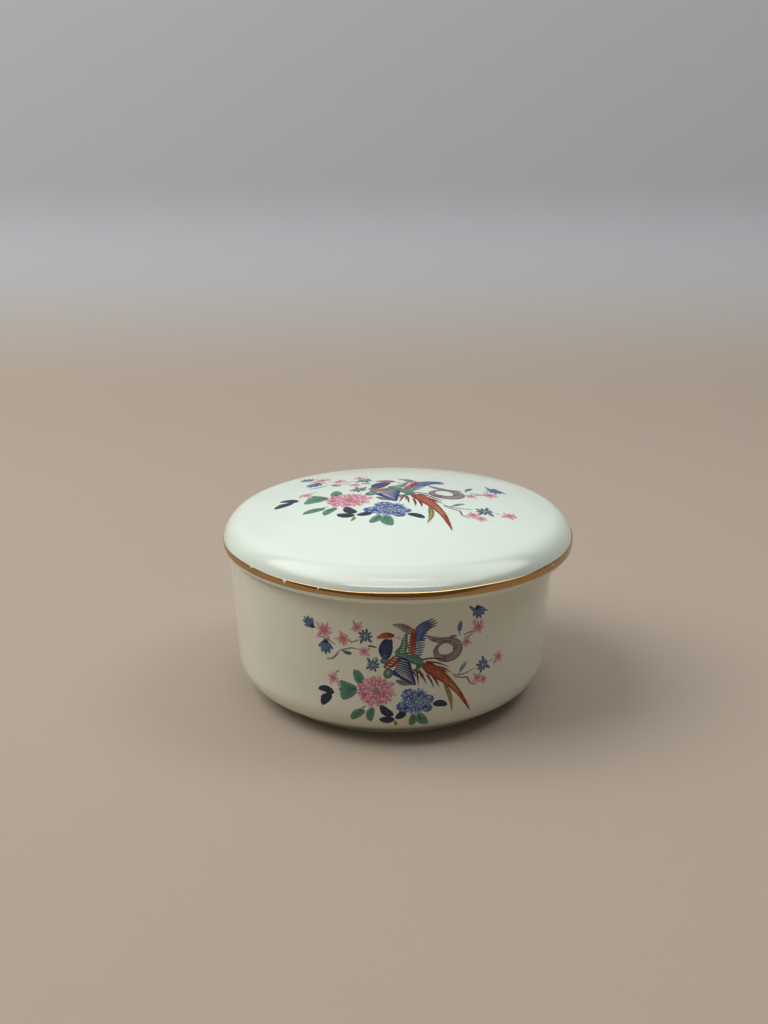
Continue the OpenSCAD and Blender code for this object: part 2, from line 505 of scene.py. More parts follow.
INKS = {
    "navy": (8, 42, 106),
    "navy_deep": (6, 22, 58),
    "leaf_blue": (18, 42, 82),
    "leaf_blue_deep": (8, 20, 44),
    "green": (84, 132, 110),
    "green_deep": (46, 94, 76),
    "green_pale": (140, 172, 150),
    "teal": (52, 110, 112),
    "rose": (198, 130, 146),
    "rose_deep": (180, 82, 112),
    "rose_pale": (224, 184, 190),
    "violet": (72, 88, 138),
    "blue": (60, 94, 148),
    "blue_pale": (138, 156, 190),
    "mauve": (146, 130, 132),
    "mauve_deep": (100, 84, 90),
    "twig": (136, 120, 98),
    "twig_grey": (124, 114, 108),
    "red": (156, 40, 28),
    "red_deep": (110, 24, 16),
    "orange": (200, 106, 60),
    "rust": (160, 54, 20),
    "brown": (74, 36, 28),
    "olive": (160, 146, 66),
    "olive_deep": (104, 100, 50),
    "white": (236, 230, 214),
    "gold_dust": (198, 168, 86),
    "slate": (84, 106, 136),
}


def ink(name):
    return linear(*INKS[name])


def mix(a, b, share):
    return tuple(p + (q - p) * share for p, q in zip(a, b))


def beside(at, reach, turn):
    """A point at a distance and an angle from another."""
    return (at[0] + reach * math.cos(turn), at[1] + reach * math.sin(turn))


def spread(values, t):
    """Reads a list of evenly spaced values at t from 0 to 1."""
    if len(values) == 1:
        return values[0]
    place = min(max(t, 0), 1) * (len(values) - 1)
    i = min(int(place), len(values) - 2)
    return values[i] + (values[i + 1] - values[i]) * (place - i)


def smooth_line(points, count, closed=False):
    """A smooth curve through a few points."""
    n = len(points)
    spans = n if closed else n - 1
    made = []
    for k in range(count if closed else count + 1):
        place = k / count * spans
        i = min(int(place), spans - 1)
        t = place - i
        if closed:
            p = [points[(i + j) % n] for j in (-1, 0, 1, 2)]
        else:
            p = [points[min(max(i + j, 0), n - 1)] for j in (-1, 0, 1, 2)]
        spot = []
        for a, b, c, d in zip(*p):
            squared, cubed = 2 * a - 5 * b + 4 * c - d, 3 * b - a - 3 * c + d
            spot.append(0.5 * (2 * b + (c - a) * t + squared * t**2 + cubed * t**3))
        made.append(tuple(spot))
    return made


class Film:
    """One fired film, gathered patch by patch in the print's own millimetres."""

    def __init__(self):
        self.points = []
        self.faces = []
        self.colours = []

    def add(self, x, y, lift, colour):
        self.points.append((x, y, lift))
        self.colours.append(colour)
        return len(self.points) - 1

    def lift(self, level):
        return LOWEST_FILM + INK_LAYER * level

    def stroke(self, spine, widths, start, end=None, edge=None, level=0, crown=0.0):
        """A brush stroke that swells and narrows along a smooth spine."""
        long = sum(math.dist(a, b) for a, b in zip(spine, spine[1:]))
        count = max(4, int(long / 0.45))
        line = smooth_line(spine, count)
        start = ink(start)
        end = ink(end) if end else start
        edge = ink(edge) if edge else None
        rows = []
        for i, (x, y) in enumerate(line):
            t = i / count
            x0, y0 = line[max(i - 1, 0)]
            x1, y1 = line[min(i + 1, count)]
            run_ = math.hypot(x1 - x0, y1 - y0) or 1
            nx, ny = -(y1 - y0) / run_, (x1 - x0) / run_
            half = spread(widths, t) / 2
            row = []
            for side in (-1, -0.78, 0, 0.78, 1):
                inner = abs(side) < 1 and 0 < i < count
                up = self.lift(level) + crown * (1 - side * side) if inner else SUNK
                tone = mix(start, end, t)
                if edge:
                    tone = mix(tone, edge, abs(side) ** 1.5)
                row.append(self.add(x + nx * half * side, y + ny * half * side, up, tone))
            rows.append(row)
        for low, high in zip(rows, rows[1:]):
            for j in range(4):
                self.faces.append((low[j], high[j], high[j + 1], low[j + 1]))

    def patch(self, outline, heart, rim, level=0, crown=0.0, power=1.5):
        """A filled shape that shades from its heart to its rim."""
        n = len(outline)
        mx = sum(p[0] for p in outline) / n
        my = sum(p[1] for p in outline) / n
        inner, outer = ink(heart), ink(rim)
        middle = self.add(mx, my, self.lift(level) + crown, inner)
        last = None
        for reach in (0.35, 0.65, 0.9, 1.0):
            up = SUNK if reach == 1 else self.lift(level) + crown * (1 - reach * reach)
            ring = [
                self.add(mx + (x - mx) * reach, my + (y - my) * reach, up, mix(inner, outer, reach**power))
                for x, y in outline
            ]
            for j in range(n):
                k = (j + 1) % n
                if last is None:
                    self.faces.append((middle, ring[j], ring[k]))
                else:
                    self.faces.append((last[j], ring[j], ring[k], last[k]))
            last = ring

    def oval(self, at, rx, ry, heart, rim, level=0, turn=0.0, lobes=0, depth=0.0, crown=0.0):
        """An oval, or a scalloped one."""
        n = max(12, lobes * 6, int(5 * (rx + ry)))
        c, s = math.cos(turn), math.sin(turn)
        outline = []
        for k in range(n):
            a = TURN * k / n
            r = 1 - depth * abs(math.sin(lobes * a / 2)) if lobes else 1
            x, y = rx * r * math.cos(a), ry * r * math.sin(a)
            outline.append((at[0] + x * c - y * s, at[1] + x * s + y * c))
        self.patch(outline, heart, rim, level, crown)

    def leaf(self, base, tip, width, dark, light, level=1, bow=0.12, vein=None):
        """A pointed leaf with a bowed midrib."""
        dx, dy = tip[0] - base[0], tip[1] - base[1]
        middle = (base[0] + dx / 2 - dy * bow, base[1] + dy / 2 + dx * bow)
        spine = [base, middle, tip]
        widths = [0.15 * width, 0.75 * width, width, 0.95 * width, 0.65 * width, 0.05]
        self.stroke(spine, widths, dark, light, dark, level)
        if vein:
            self.stroke(spine, [0.16, 0.14, 0.05], vein, level=level + 1)
            for share in (0.3, 0.5, 0.7):
                x, y = base[0] + dx * share - dy * bow * 0.8, base[1] + dy * share + dx * bow * 0.8
                for side in (-1, 1):
                    out = side * width * 0.32 / math.hypot(dx, dy)
                    end = (x + dx * 0.16 - dy * out, y + dy * 0.16 + dx * out)
                    self.stroke([(x, y), end], [0.12, 0.05], vein, level=level + 1)

    def piece(self, name, place):
        """Makes the film's mesh where place puts each point."""
        mesh = bpy.data.meshes.new(name)
        mesh.from_pydata([place(*p) for p in self.points], [], self.faces)
        tint = mesh.color_attributes.new("ink", "FLOAT_COLOR", "POINT")
        for spot, tone in zip(tint.data, self.colours):
            spot.color = (*tone, 1)
        mesh.update()
        made = bpy.data.objects.new(name, mesh)
        bpy.context.scene.collection.objects.link(made)
        return made


def wall_place(sizes):
    """Where a point of the print goes on the wall. Its middle sits a little right of the front."""
    belly = Belly(sizes)
    across, up, unroll = 4.5, 21, 45.5

    def place(x, y, lift):
        a = (x + across) / unroll
        r, z, normal = belly.at((y + up) * MM)
        r += lift * MM * math.cos(normal) + out_of_round(a - math.pi / 2)
        z += lift * MM * math.sin(normal)
        return (BOX_AXIS + r * math.sin(a), -r * math.cos(a), z)

    return place


def lid_place(sizes):
    """Where a point of the print goes on the dome."""
    dome = Dome(sizes)
    c, s, k = math.cos(sizes.lid_turn), math.sin(sizes.lid_turn), sizes.print_scale
    right, back = -2.0, -2.86

    def place(x, y, lift):
        px = (k * (x * c - y * s) + right) * MM
        py = (k * (x * s + y * c) + back) * MM
        far = math.hypot(px, py) or 1e-9
        tilt = far / dome.r
        reach = (dome.r + lift * MM) * math.sin(tilt)
        x, y = px / far * reach, py / far * reach
        z = dome.z + (dome.r + lift * MM) * math.cos(tilt)
        return (x, y, z + dome_lean(x, y, sizes))

    return place


def draw_twigs(film):
    """Gnarled branch behind the bird, and the thin twigs that carry the blossoms."""
    branch = [
        (4.6, 12), (6.4, 10.9), (8.6, 10.3), (10.8, 10), (12.6, 8.9), (13.3, 7.2), (12.5, 5.6), (10.8, 4.9),
        (9, 5.1), (7.6, 6), (7.1, 7.5), (7.8, 9.1),
    ]
    widths = [0.5, 1.6, 1.9, 2.1, 2.7, 3, 2.9, 2.6, 2.4, 1.8, 1.5, 0.8]
    film.stroke(branch, widths, "mauve", "mauve", "mauve_deep", 0)
    for spine in (
        [(8.2, 5.6), (9.8, 4.9), (11.4, 5.3)], [(11.6, 9.5), (12.9, 8.2), (12.8, 6.4)],
        [(6.4, 10.9), (9.2, 10.3), (11.2, 9.7)], [(7.2, 6.6), (7.1, 7.8), (7.7, 8.8)],
    ):
        film.stroke(spine, [0.1, 0.5, 0.1], "mauve_deep", level=1)
    closing = [(7.5, 8.3), (8.4, 9.5), (10.2, 9.9)]
    film.stroke(closing, [0.8, 1.3, 0.8], "mauve", "mauve_deep", "mauve_deep", 0.5)
    for knot in ((12.2, 7.4), (9.8, 5.4), (6.6, 10.7), (10.9, 9.8)):
        film.oval(knot, 0.42, 0.32, "brown", "mauve_deep", 2)
    thin = [
        ([(10.4, 10.4), (11.6, 11.1), (12.9, 10.8)], 0.7, "mauve_deep"),
        ([(13, 8.9), (14.6, 8.9), (16, 10), (17.6, 11.3)], 0.7, "mauve"),
        ([(14.6, 10.9), (16.6, 11.4), (18.4, 11.2)], 0.5, "twig_grey"),
        ([(13.5, 10.8), (13.6, 12.4)], 0.4, "twig_grey"),
        ([(17.8, 13.6), (17.9, 15)], 0.4, "twig_grey"),
        ([(12, 0), (13.8, -0.6), (16, -0.4), (18.8, 0.4)], 0.5, "twig_grey"),
        ([(12.2, -0.6), (14.6, -1.5), (16.4, -1.9), (17.6, -3.9), (19.6, -4.6)], 0.6, "twig_grey"),
        ([(14.1, 0.3), (13.8, -0.7)], 0.4, "twig_grey"),
        ([(23.2, 1.2), (24.6, 1.5)], 0.4, "twig_grey"),
        ([(-21.6, 4.3), (-20, 4.7), (-18.8, 5.9), (-18, 7.2)], 0.7, "twig"),
        ([(-18, 7.2), (-16.6, 7.8), (-14.4, 8.4), (-13, 8)], 0.5, "twig_grey"),
        ([(-10.6, 9.2), (-9.4, 9.3), (-8, 8.9)], 0.6, "brown"),
        ([(-24, 10.6), (-21, 10), (-18.8, 8.6)], 0.5, "twig"),
        ([(-15, 9.8), (-13.4, 10.6), (-12.4, 11)], 0.4, "twig_grey"),
        ([(-9, 5.6), (-8, 6.2)], 0.4, "twig"),
        ([(-18.9, -2.2), (-18.2, -3.2), (-17.4, -3.8)], 0.5, "green"),
        ([(-19.4, -0.2), (-18.8, 1), (-17.9, 1.4)], 0.4, "green"),
        ([(-13.1, -1.6), (-12.4, -2.4)], 0.5, "green_deep"),
        ([(-24.9, 13.2), (-23.8, 12.6)], 0.4, "twig_grey"),
        ([(-12.6, -9.4), (-11, -8.2)], 0.4, "green_deep"),
    ]
    for spine, width, name in thin:
        film.stroke(spine, [width * 0.6, width, width * 0.5], name, level=1)


def draw_leaves(film):
    """Soft green leaves round the pink peony and near-black blue ones round the blue peony."""
    for base, tip, width, bow in (
        ((-12.6, -2.3), (-14.2, 2.2), 2.9, -0.1),
        ((-13.4, -3.2), (-18.2, -1.5), 2.8, 0.15),
        ((-13.4, -3.1), (-17.6, -7.2), 4, -0.12),
        ((-13.5, -3.4), (-18.6, -4.2), 2.6, 0.05),
        ((-11.4, -9.6), (-15.3, -13.2), 2.7, -0.1),
        ((-9.1, -8.7), (-10, -13.4), 2.5, -0.12),
        ((1.5, -10.6), (1, -15.2), 2.5, 0.06),
        ((3, -10.4), (5.9, -15), 3.1, -0.1),
    ):
        film.leaf(base, tip, width, "green", "green", 2, bow, "green_deep")
        dx, dy = tip[0] - base[0], tip[1] - base[1]
        shade = [(base[0] + dx * k - dy * bow, base[1] + dy * k + dx * bow) for k in (0.05, 0.4, 0.75)]
        film.stroke(shade, [0.2, 0.5 * width, 0.1], "green_deep", "green", level=2.5)
    for base, tip, width, bow in (
        ((-19.8, -5.6), (-24.6, -5.2), 2.3, -0.14),
        ((-20.6, -6.2), (-23.6, -9.9), 2.7, -0.1),
        ((-20.4, -5.8), (-24, -7.6), 1.4, 0),
        ((-3.7, -10.9), (-7.2, -7.8), 2.6, 0.14),
        ((-3.5, -12.1), (-7.7, -12.3), 2.7, 0.1),
        ((-0.6, -9.4), (-3.4, -12), 2.3, 0.1),
        ((6.7, -8.2), (11, -9.1), 2.2, 0.1),
    ):
        film.leaf(base, tip, width, "leaf_blue_deep", "leaf_blue", 3, bow, "leaf_blue")
    film.leaf((13.5, 12), (13.9, 15.2), 1.5, "slate", "slate", 2, 0.05)
    film.leaf((14.1, 0.1), (16.1, 3), 1.3, "slate", "blue_pale", 2, 0.05)
    film.leaf((-3.5, -12.7), (-3.3, -15.3), 0.9, "olive_deep", "olive", 2)
    film.leaf((-14.5, 6.8), (-17.2, 7.4), 1.2, "green_deep", "slate", 2, 0.1)
    for x, y in ((-3.3, 11.8), (-2.6, 11.4), (-2.7, 12)):
        film.stroke([(x, y), (x + 0.6, y + 0.1)], [0.2, 0.3, 0.1], "green", level=2)


def blossom(film, at, r, fill, deep, pale, turn, petals=9, level=4):
    """A small ragged flower: thin pointed petals, every other one short, with white lines between them."""
    wide = 0.44 * r
    film.oval(at, 0.5 * r, 0.5 * r, deep, fill, level - 1, turn, lobes=petals, depth=0.2)
    for k in range(petals):
        a = turn + TURN * k / petals
        far = r * (1.08 if k % 2 else 0.8) * (1 + 0.1 * math.sin(2.3 * k + 5 * turn))
        bent = a + 0.14 * math.sin(1.7 * k)
        spine = [beside(at, 0.12 * r, a), beside(at, 0.55 * far, a), beside(at, far, bent)]
        film.stroke(spine, [0.3 * wide, wide, 0.75 * wide, 0.06], deep, pale, fill, level + 0.5 * (k % 2))
        gap = a + math.pi / petals
        line = [beside(at, 0.3 * r, gap), beside(at, 0.85 * r, gap)]
        film.stroke(line, [0.05, 0.13, 0.05], "white", level=level + 2)
    film.oval(at, 0.15 * r, 0.15 * r, "gold_dust", "olive_deep", level + 3)
    for k in range(5):
        film.oval(beside(at, 0.32 * r, turn + TURN * k / 5), 0.08, 0.08, "white", "white", level + 3)


def bell(film, at, reach, turn, level=4):
    """A nodding blue flower seen from the side, with pointed lobes."""
    for lean, long, wide in (
        (-0.85, 0.85, 0.42), (0.85, 0.85, 0.42), (-0.35, 1.05, 0.5), (0.35, 1.05, 0.5), (0, 1.15, 0.42),
    ):
        a = turn + lean
        widths = [0.3 * reach * wide, reach * wide, 0.7 * reach * wide, 0.06]
        lay = level + (0.5 if lean else 1)
        film.stroke([at, beside(at, reach * long, a)], widths, "leaf_blue", "slate", "blue", lay)
        film.stroke([at, beside(at, reach * 0.8, a)], [0.05, 0.1, 0.04], "blue_pale", level=level + 2)
    film.oval(at, 0.24 * reach, 0.24 * reach, "leaf_blue_deep", "leaf_blue", level + 2)


def draw_blossoms(film):
    """Pink and blue blossoms on the twigs."""
    for x, y, r, turn in (
        (-22, 12.5, 2.9, 0.4), (-16.8, 10.8, 2.4, 1.2), (-13.1, 14.5, 2, 0.1), (-11.4, 7.7, 1.8, 2),
        (-19.9, -1.1, 2.1, 0.7), (18.9, 12.4, 2.5, 0.3), (15.6, 8.8, 1.8, 1), (26.4, 1.8, 2.2, 0.5),
        (19.6, -2.7, 1.9, 0.2), (21.6, -3.6, 1.7, 1.4),
    ):
        blossom(film, (x, y), r, "rose", "rose_deep", "rose_pale", turn)
    for x, y, r, turn in ((-11, 12.1, 2.4, 0.6), (-9.1, 3.9, 2.3, 0.2), (21.2, 0.8, 2.6, 0.9)):
        blossom(film, (x, y), r, "slate", "leaf_blue", "slate", turn)
        film.oval((x, y), 0.3 * r, 0.3 * r, "green_pale", "teal", 7.5, lobes=7, depth=0.2)
    film.oval((-16.6, 10), 0.9, 0.8, "orange", "rose", 5)
    bell(film, (-25.4, 13.1), 3, 2.4)
    bell(film, (-21.7, 9.2), 3.4, -1.6)
    bell(film, (18.4, 18), 3.2, -1.2)
    film.stroke([(15.8, 19), (17.2, 17.7), (18.2, 16.6)], [0.3, 1.1, 0.4], "slate", "blue", level=6)
    film.stroke([(21.8, 16.5), (19.8, 16.9), (18.4, 16.3)], [0.2, 1.1, 0.6], "slate", "blue", level=6)


def peony(film, at, rx, ry, fill, deep, pale, seed, level=5):
    """A full flower: a ragged cushion under rings of thin pale-tipped petals, flecked with white."""
    chance = random.Random(seed)
    film.oval(at, rx * 0.9, ry * 0.9, deep, fill, level, lobes=13, depth=0.12)
    rings = ((1.0, 28, 0.34, 0.19), (0.82, 24, 0.3, 0.18), (0.62, 18, 0.28, 0.17), (0.4, 12, 0.24, 0.16))
    for ring, (reach, count, long, wide) in enumerate(rings):
        for k in range(count):
            a = TURN * (k + 0.5 * (ring % 2)) / count + chance.uniform(-0.09, 0.09)
            out = reach * chance.uniform(0.9, 1.07)
            c, s = math.cos(a), math.sin(a)
            tip = (at[0] + rx * out * c, at[1] + ry * out * s)
            foot = (tip[0] - rx * long * c, tip[1] - ry * long * s)
            near, end = chance.choice(((fill, pale), (deep, fill), (fill, fill), (deep, pale), (fill, pale)))
            w = wide * ry * chance.uniform(0.85, 1.2)
            lay = level + 1 + 1.6 * ring + 0.5 * (k % 2)
            film.stroke([foot, tip], [0.5 * w, w, 0.9 * w, 0.3 * w], near, end, None, lay)
            if k % 2:
                inner = (tip[0] - 0.06 * rx * c, tip[1] - 0.06 * ry * s)
                film.oval(inner, 0.14, 0.14, "white", "white", lay + 1)
            else:
                film.stroke([foot, tip], [0.05, 0.09, 0.04], pale, level=lay + 0.7)


def draw_peonies(film):
    """The large pink peony and the smaller blue one."""
    for x, y, r in ((0.2, -4.6, 2), (-1.2, -8.4, 2.1), (5.6, -6.6, 1.7), (5.3, -9.2, 1.6)):
        film.oval((x, y), r, r * 0.85, "violet", "blue", 4.5, lobes=9, depth=0.16)
    peony(film, PINK_AT, 5.5, 4.9, "rose", "rose_deep", "rose_pale", 4)
    peony(film, BLUE_AT, 4.6, 4, "blue", "violet", "blue_pale", 9)
    for x, y, r in ((-11.4, -5, 1.3), (-6.4, -4.5, 1.2), (-10.6, -7, 0.8), (-12.4, -3.4, 0.7)):
        film.oval((x, y), r, r * 0.7, "rose_deep", "rose", 10.6, turn=0.4, lobes=7, depth=0.2)
    for x, y, r in ((-0.4, -8.8, 1), (4.8, -8.8, 1), (3.2, -5, 0.8), (0.2, -5.4, 0.7)):
        film.oval((x, y), r, r * 0.7, "navy", "blue", 10.6, turn=0.4, lobes=7, depth=0.2)
    for at, name in (((-8.3, -3.3), "olive"), ((2.4, -7), "green_pale")):
        film.oval(at, 0.9, 0.7, name, "green", 12.6, lobes=6, depth=0.2)
        for k in range(9):
            film.oval(beside(at, 1.1, TURN * k / 9), 0.12, 0.12, "white", "gold_dust", 13)


def draw_bird(film):
    """Golden pheasant-like bird of no particular kind, looking left with one wing raised."""
    # far wing in grey mauve, then the blue barbs and the raised fan
    film.stroke([(-4.1, 15.6), (-2, 15), (0.9, 12.9)], [0.3, 1.3, 1.8, 1.2], "mauve", "mauve_deep", level=4)
    film.stroke([(-2.2, 15.9), (0, 14.9), (1, 13.9)], [0.1, 0.7, 0.5], "mauve_deep", "mauve", level=5)
    for k in range(5):
        x, y = -3 + 0.7 * k, 15.6 - 0.38 * k
        film.stroke([(x, y), (x + 0.3, y - 1)], [0.05, 0.12, 0.05], "white", level=6)
    for k in range(11):
        y = 6.4 + 0.68 * k
        end = (4.4 - 0.035 * (k - 5) ** 2, y + 0.15)
        barb_ink = "violet" if k % 3 else "navy"
        film.stroke([(1.8, y), (3.1, y + 0.3), end], [0.46, 0.48, 0.15], barb_ink, "blue", level=5)
    tips = [
        (4.7, 11.2), (4.9, 12.1), (5, 12.9), (5.4, 13.7), (6.2, 14.3), (7.3, 14.8), (7.5, 15.6), (7.1, 16.3),
        (6.4, 16.9), (5, 16.4),
    ]
    for k, tip in enumerate(tips):
        root = (1.8, 10.7 + 0.38 * k)
        middle = ((root[0] + tip[0]) / 2 - 0.1, (root[1] + tip[1]) / 2 + 0.25)
        outer = "mauve_deep" if 3 < k < 8 else "blue"
        film.stroke([root, middle, tip], [0.6, 0.8, 0.62, 0.1], "blue", outer, "navy", 6 + 0.3 * (k % 3))
        film.stroke([root, middle], [0.05, 0.1, 0.04], "blue_pale", level=7.5)
    # near wing: red coverts with pale bars on their left half
    covert = [(1.3, 14.4), (1.1, 12), (0.9, 9.4), (0.9, 6.7)]
    film.stroke(covert, [0.7, 1.6, 1.9, 2.1, 1.8], "red", "red", "red_deep", 8)
    for k in range(10):
        y = 6.9 + 0.76 * k
        film.stroke([(-0.2 + 0.05 * k, y), (0.3, y + 0.18), (0.9, y)], [0.08, 0.22, 0.08], "white", level=9)
        if k < 3 or k > 7:
            bar = [(0.9, y + 0.3), (1.3, y + 0.46), (1.8, y + 0.3)]
            film.stroke(bar, [0.08, 0.2, 0.08], "rose_pale", level=9)
    # body: green scales from the nape to the rump
    nape = [(-0.5, 13), (-1, 11.2), (-1.1, 9.6), (-1.8, 8.1), (-3.4, 7.2)]
    film.stroke(nape, [0.5, 1.4, 1.8, 2.2, 2.3, 1.2], "green_deep", "green", "green_deep", 6)
    back = [(-3.4, 6.9), (-1.2, 6.8), (0.8, 5.9), (2.6, 4.9), (3.9, 4.6)]
    film.stroke(back, [1, 2.1, 2.9, 2.6, 1.1], "green", "green", "green_deep", 7)
    rump = [(2.9, 4.5), (2.7, 3.3), (2.2, 2.2)]
    film.stroke(rump, [1.9, 1.5, 0.5], "teal", "green_deep", "green_deep", 7.5)
    for row in range(5):
        for k in range(10):
            t = (k + 0.5 * (row % 2)) / 10
            x = -3 + 6.6 * t
            y = 8 - 3.4 * t - 0.5 * row
            if -1.4 < y - (6.7 - 0.5 * x) < 1.3:
                scale_ink = "green_pale" if row % 2 else "navy_deep"
                scale_edge = [(x - 0.25, y), (x, y - 0.2), (x + 0.25, y)]
                film.stroke(scale_edge, [0.08, 0.2, 0.08], scale_ink, level=8.5)
    for k in range(7):
        y = 7.8 + 0.72 * k
        lean = 0.2 * max(0, 3 - k)
        bar = [(-1.7 - lean, y + 0.1), (-1.2 - lean, y - 0.14), (-0.5, y)]
        film.stroke(bar, [0.08, 0.22, 0.08], "white", level=8)
    # folded wing: dark blue with pale bars, ending in long quills
    wing = smooth_line([(-2.6, 6.1), (-0.7, 6.4), (0.5, 4.8), (1, 2.8), (1.6, 0.6), (2.1, -2.1), (0.2, -1.6),
                        (-2, -0.1), (-4.2, 1.4), (-3.4, 3.4)], 36, closed=True)
    film.patch(wing, "leaf_blue", "navy", 9)
    for k in range(9):
        share = k / 8
        left = (-2.4 - 1.5 * math.sin(math.pi * share), 5.4 - 4.1 * share)
        right = (0.1 + 1.7 * share**1.3, 4.7 - 6.4 * share)
        middle = ((left[0] + right[0]) / 2, (left[1] + right[1]) / 2 + 0.22)
        film.stroke([left, middle, right], [0.1, 0.24, 0.1], "white", "blue_pale", level=10)
    # head, with the crest lying straight on it, and the throat
    head = smooth_line([(-4.3, 11.6), (-6, 11.5), (-7.1, 10.3), (-7.7, 8.4), (-7.3, 6.7), (-6.2, 5.5),
                        (-4.8, 6), (-4.1, 7.9), (-4, 9.8)], 30, closed=True)
    film.patch(head, "navy", "navy_deep", 7)
    for k in range(7):
        x = -6.9 + 0.38 * k
        film.stroke([(x + 0.1, 10.8 - 0.1 * abs(k - 3)), (x, 8.8), (x + 0.1, 6.9 + 0.12 * abs(k - 3))],
                    [0.04, 0.1, 0.04], "blue", "navy", level=8)
    film.oval((-6, 6.6), 0.7, 0.55, "violet", "navy", 8.5)
    crest = [(-8.2, 11.6), (-6.9, 12.2), (-5.3, 12.6), (-3.6, 12.3)]
    film.stroke(crest, [0.15, 1.2, 1.8, 1.6, 0.7], "orange", "brown", "rust", 9)
    film.stroke([(-5.8, 12.9), (-4.8, 13), (-3.8, 12.5)], [0.1, 0.5, 0.2], "brown", "brown", level=10)
    film.oval((-4.9, 11.6), 0.7, 0.34, "rose_pale", "orange", 10)
    film.oval((-5, 11.62), 0.17, 0.17, "navy_deep", "navy_deep", 11)
    film.oval((-6.1, 5.2), 1.2, 0.95, "teal", "green_deep", 7, turn=0.3)
    for k in range(4):
        film.stroke([(-6.9 + 0.4 * k, 5.7), (-6.7 + 0.4 * k, 4.7)], [0.1, 0.05], "green_pale", level=8)
    # shoulder: red with pale bars, and the green patch below
    shoulder = [(-3.2, 6.7), (-3.6, 5.3), (-4.6, 4.2), (-6.4, 3.2)]
    film.stroke(shoulder, [0.9, 2.2, 2.6, 2.1, 0.6], "red", "red", "red_deep", 9)
    for k in range(5):
        share = k / 4
        x, y = -3.3 - 2.1 * share**1.3, 6.2 - 2.7 * share
        film.stroke([(x + 0.9, y - 0.3), (x, y), (x - 0.8, y + 0.2)], [0.08, 0.24, 0.08], "white", level=10)
    film.oval((-5.2, 1.5), 1.3, 1.6, "green", "green_deep", 6, turn=-0.3)
    film.oval((-5.2, 1.7), 0.5, 0.8, "green_pale", "green", 7, turn=-0.3)
    under = [(-3.2, -0.5), (-1.4, -1.2), (0.6, -1.4), (1.9, -2)]
    film.stroke(under, [0.6, 2, 1.5, 0.2], "mauve_deep", "violet", "mauve", 5)
    # tail: plumes that taper to one point, with long barbs on both sides
    for spine, width in (
        ([(3.6, 5.2), (6.2, 5.4), (8.8, 4.8), (10.8, 3.7)], 0.5),
        ([(4.6, 4.6), (7.4, 4), (9.4, 3.1), (11.2, 2.1)], 0.5),
        ([(6.4, 3.3), (8.8, 2.4), (10.4, 1.5), (11.9, 0.3)], 0.5),
        ([(7.6, 2.2), (9.4, 1.5), (10.9, 0.4)], 0.5),
        ([(2.2, 2.2), (2.5, 0.2), (2.8, -2.4)], 0.55), ([(3.5, 1.4), (4.2, -0.4), (5, -2.2)], 0.5),
        ([(4.9, 0.8), (6.1, -1.2), (7, -3.5)], 0.6), ([(6.4, 0.3), (7.6, -1.6), (8.4, -3.5)], 0.6),
        ([(0.9, 2.3), (1.7, 1.4), (2, 0.1)], 0.5), ([(1.3, 2.7), (2.6, 1.7), (3.5, 1)], 0.6),
        ([(1.4, 1.8), (1.1, 0.6), (1.4, -0.6)], 0.45), ([(3, 2.4), (3.3, 0.8), (3.6, -0.4)], 0.5),
    ):
        film.stroke(spine, [width, width, 0.06], "brown", "red_deep", level=6)
    tail = [(3.4, 3.9), (5.6, 2.6), (8.4, 0.3), (11.5, -2.7), (14.1, -5.9), (16.2, -9.2), (18.1, -12.4)]
    film.stroke(tail, [1, 3.4, 3.1, 2.1, 1.5, 0.9, 0.08], "red_deep", "rust", "red_deep", 8)
    film.stroke([(4, 2.8), (6.2, 1.1), (9, -1.3), (11.4, -3.5)], [0.3, 1, 0.9, 0.2], "red", "rust", level=9)
    film.stroke([(4.6, 3.9), (7, 2.8), (9.6, 0.6), (12, -2)], [0.3, 1, 0.7, 0.1], "red", "red", level=9)
    film.stroke([(10.8, -2.2), (13.4, -5.4), (15.8, -9)], [0.2, 0.6, 0.1], "orange", "rust", level=9)
    for off in (-0.7, 0.05, 0.8):
        line = [(x + off * 0.5, y + off * 0.6 * (1 - i / 5)) for i, (x, y) in enumerate(tail[:5])]
        film.stroke(line, [0.08, 0.15, 0.15, 0.08], "orange", "gold_dust", level=10)
    line = smooth_line(tail, 100)
    for k in range(14):
        t = 0.1 + 0.06 * k
        x, y = line[int(100 * t)]
        for side in (-1, 1):
            far = 1.2 * (1 - t) + 0.1
            end = (x + 0.75 + 0.2 * side, y - 0.8 + far * side * 0.7)
            film.stroke([(x, y), end], [0.12, 0.05], "orange" if k % 2 else "brown", level=10)
    olive = [(9.8, -2.4), (11, -5), (11.9, -7.8), (12.3, -11.2)]
    film.stroke(olive, [0.5, 1.4, 1.1, 0.1], "olive_deep", "olive", "olive_deep", 7)
    film.stroke([(10.4, -3.6), (11.5, -6.4), (12.1, -9.6)], [0.06, 0.16, 0.05], "gold_dust", level=8)


def draw_whites(film):
    """Raised white enamel: loose dots and lines that lift the petals and feathers."""
    for at, r, count in ((PINK_AT, 2.5, 11), (BLUE_AT, 2.1, 10), (PINK_AT, 4, 15), (BLUE_AT, 3.4, 12)):
        for k in range(count):
            a = TURN * k / count + 0.3 * math.sin(7 * k)
            x, y = at[0] + r * 1.1 * math.cos(a), at[1] + r * 0.95 * math.sin(a)
            film.oval((x, y), 0.13, 0.13, "white", "white", 13, crown=0.04)
    for x, y, r in (
        (-22, 12.5, 2.4), (-16.8, 10.8, 2), (-13.1, 14.5, 1.7), (18.9, 12.4, 2), (26.4, 1.8, 1.7),
        (-19.9, -1.1, 1.6),
    ):
        for k in range(6):
            a = TURN * (k + 0.25) / 6 + x
            ends = [beside((x, y), 0.45 * r, a), beside((x, y), r, a)]
            film.stroke(ends, [0.08, 0.16, 0.06], "white", level=12, crown=0.03)


